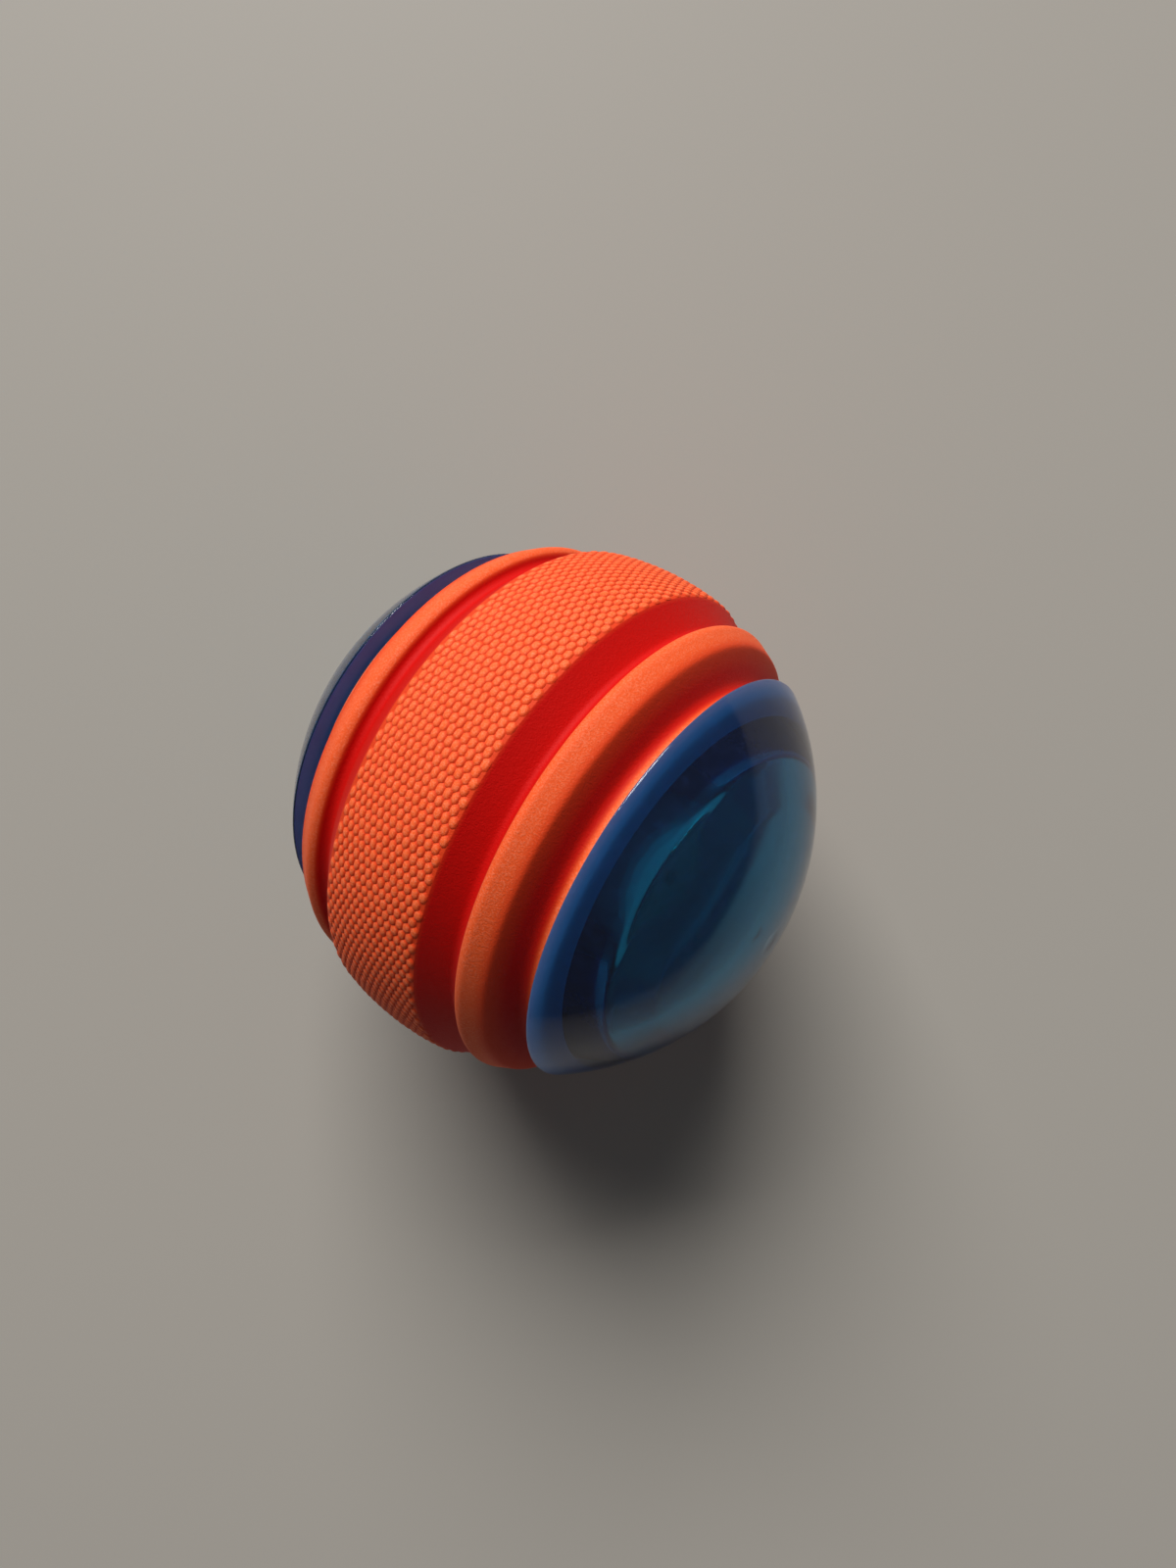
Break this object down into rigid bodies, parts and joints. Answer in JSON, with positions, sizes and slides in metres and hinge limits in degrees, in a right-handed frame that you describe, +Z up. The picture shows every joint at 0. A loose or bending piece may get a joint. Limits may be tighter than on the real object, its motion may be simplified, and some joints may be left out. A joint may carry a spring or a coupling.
{
  "type": "light-up dog ball",
  "caption": "Fetch ball of grooved foam rubber with clear blue domes at both ends, a battery light capsule inside, a pull-off dome and a sprung power button.",
  "frame": {"origin": "centre of the ball", "axes": "+Z up, with the ball lying on a ridge and the rim of the far dome. The ball's own axis lies in the XZ plane and rises 27.5 degrees towards +X, where the pull-off dome is. +Y runs across the ball, along a diameter of its belt"},
  "size_m": [0.0638, 0.065, 0.0646],
  "materials": {
    "orange_rubber": "matte foam rubber, woven texture on the belt",
    "blue_dome": "glossy see-through blue plastic",
    "button_rubber": "soft blue rubber",
    "clear_plastic": "clear moulded plastic",
    "black_plastic": "moulded",
    "seal_rubber": "moulded",
    "circuit_board": "solder mask",
    "ceramic": "fired",
    "steel": "nickel plated"
  },
  "bodies": {
    "root": {"rubber_body": "orange_rubber", "far_dome": "blue_dome", "button_spring": "steel", "capsule_near": "clear_plastic", "capsule_far": "clear_plastic", "capsule_seal": "seal_rubber", "case_screw_1": "steel", "case_screw_2": "steel", "case_screw_3": "steel", "circuit_board": "circuit_board", "tact_switch": "black_plastic", "controller_chip": "black_plastic", "resistor_1": "black_plastic", "resistor_2": "black_plastic", "capacitor": "ceramic", "led_near_1": "clear_plastic", "led_near_2": "clear_plastic", "led_near_3": "clear_plastic", "led_far_1": "clear_plastic", "led_far_2": "clear_plastic", "led_far_3": "clear_plastic", "battery_tube": "black_plastic", "button_cell_1": "steel", "button_cell_2": "steel", "button_cell_3": "steel", "negative_contact": "steel", "positive_contact": "steel"},
    "pull_off_dome": {"near_dome": "blue_dome"},
    "turning_lid": {"battery_lid": "black_plastic", "lid_seal": "seal_rubber"},
    "button": {"power_button": "button_rubber"},
    "plunger": {"switch_plunger": "black_plastic"}
  },
  "joints": [
    {"name": "near_dome_pull", "type": "slide", "parent": "root", "child": "pull_off_dome", "axis": [0.887, 0, 0.4617], "range_m": [0, 0.045]},
    {"name": "battery_lid_turn", "type": "hinge", "parent": "root", "child": "turning_lid", "pos_m": [0.01295, 0, 0.00674], "axis": [0.887, 0, 0.4617], "range_deg": [0, 60]},
    {"name": "power_button_press", "type": "slide", "parent": "root", "child": "button", "axis": [0.887, 0, 0.4617], "range_m": [0, 0.0008], "stiffness_N_per_m": 900, "springref_m": -0.0006, "deforming": ["button_spring"]},
    {"name": "switch_plunger_press", "type": "slide", "parent": "root", "child": "plunger", "axis": [0.887, 0, 0.4617], "range_m": [0, 0.0008]}
  ],
  "couplings": [
    {"joint": "switch_plunger_press", "follows": "power_button_press", "ratio": 1}
  ]
}
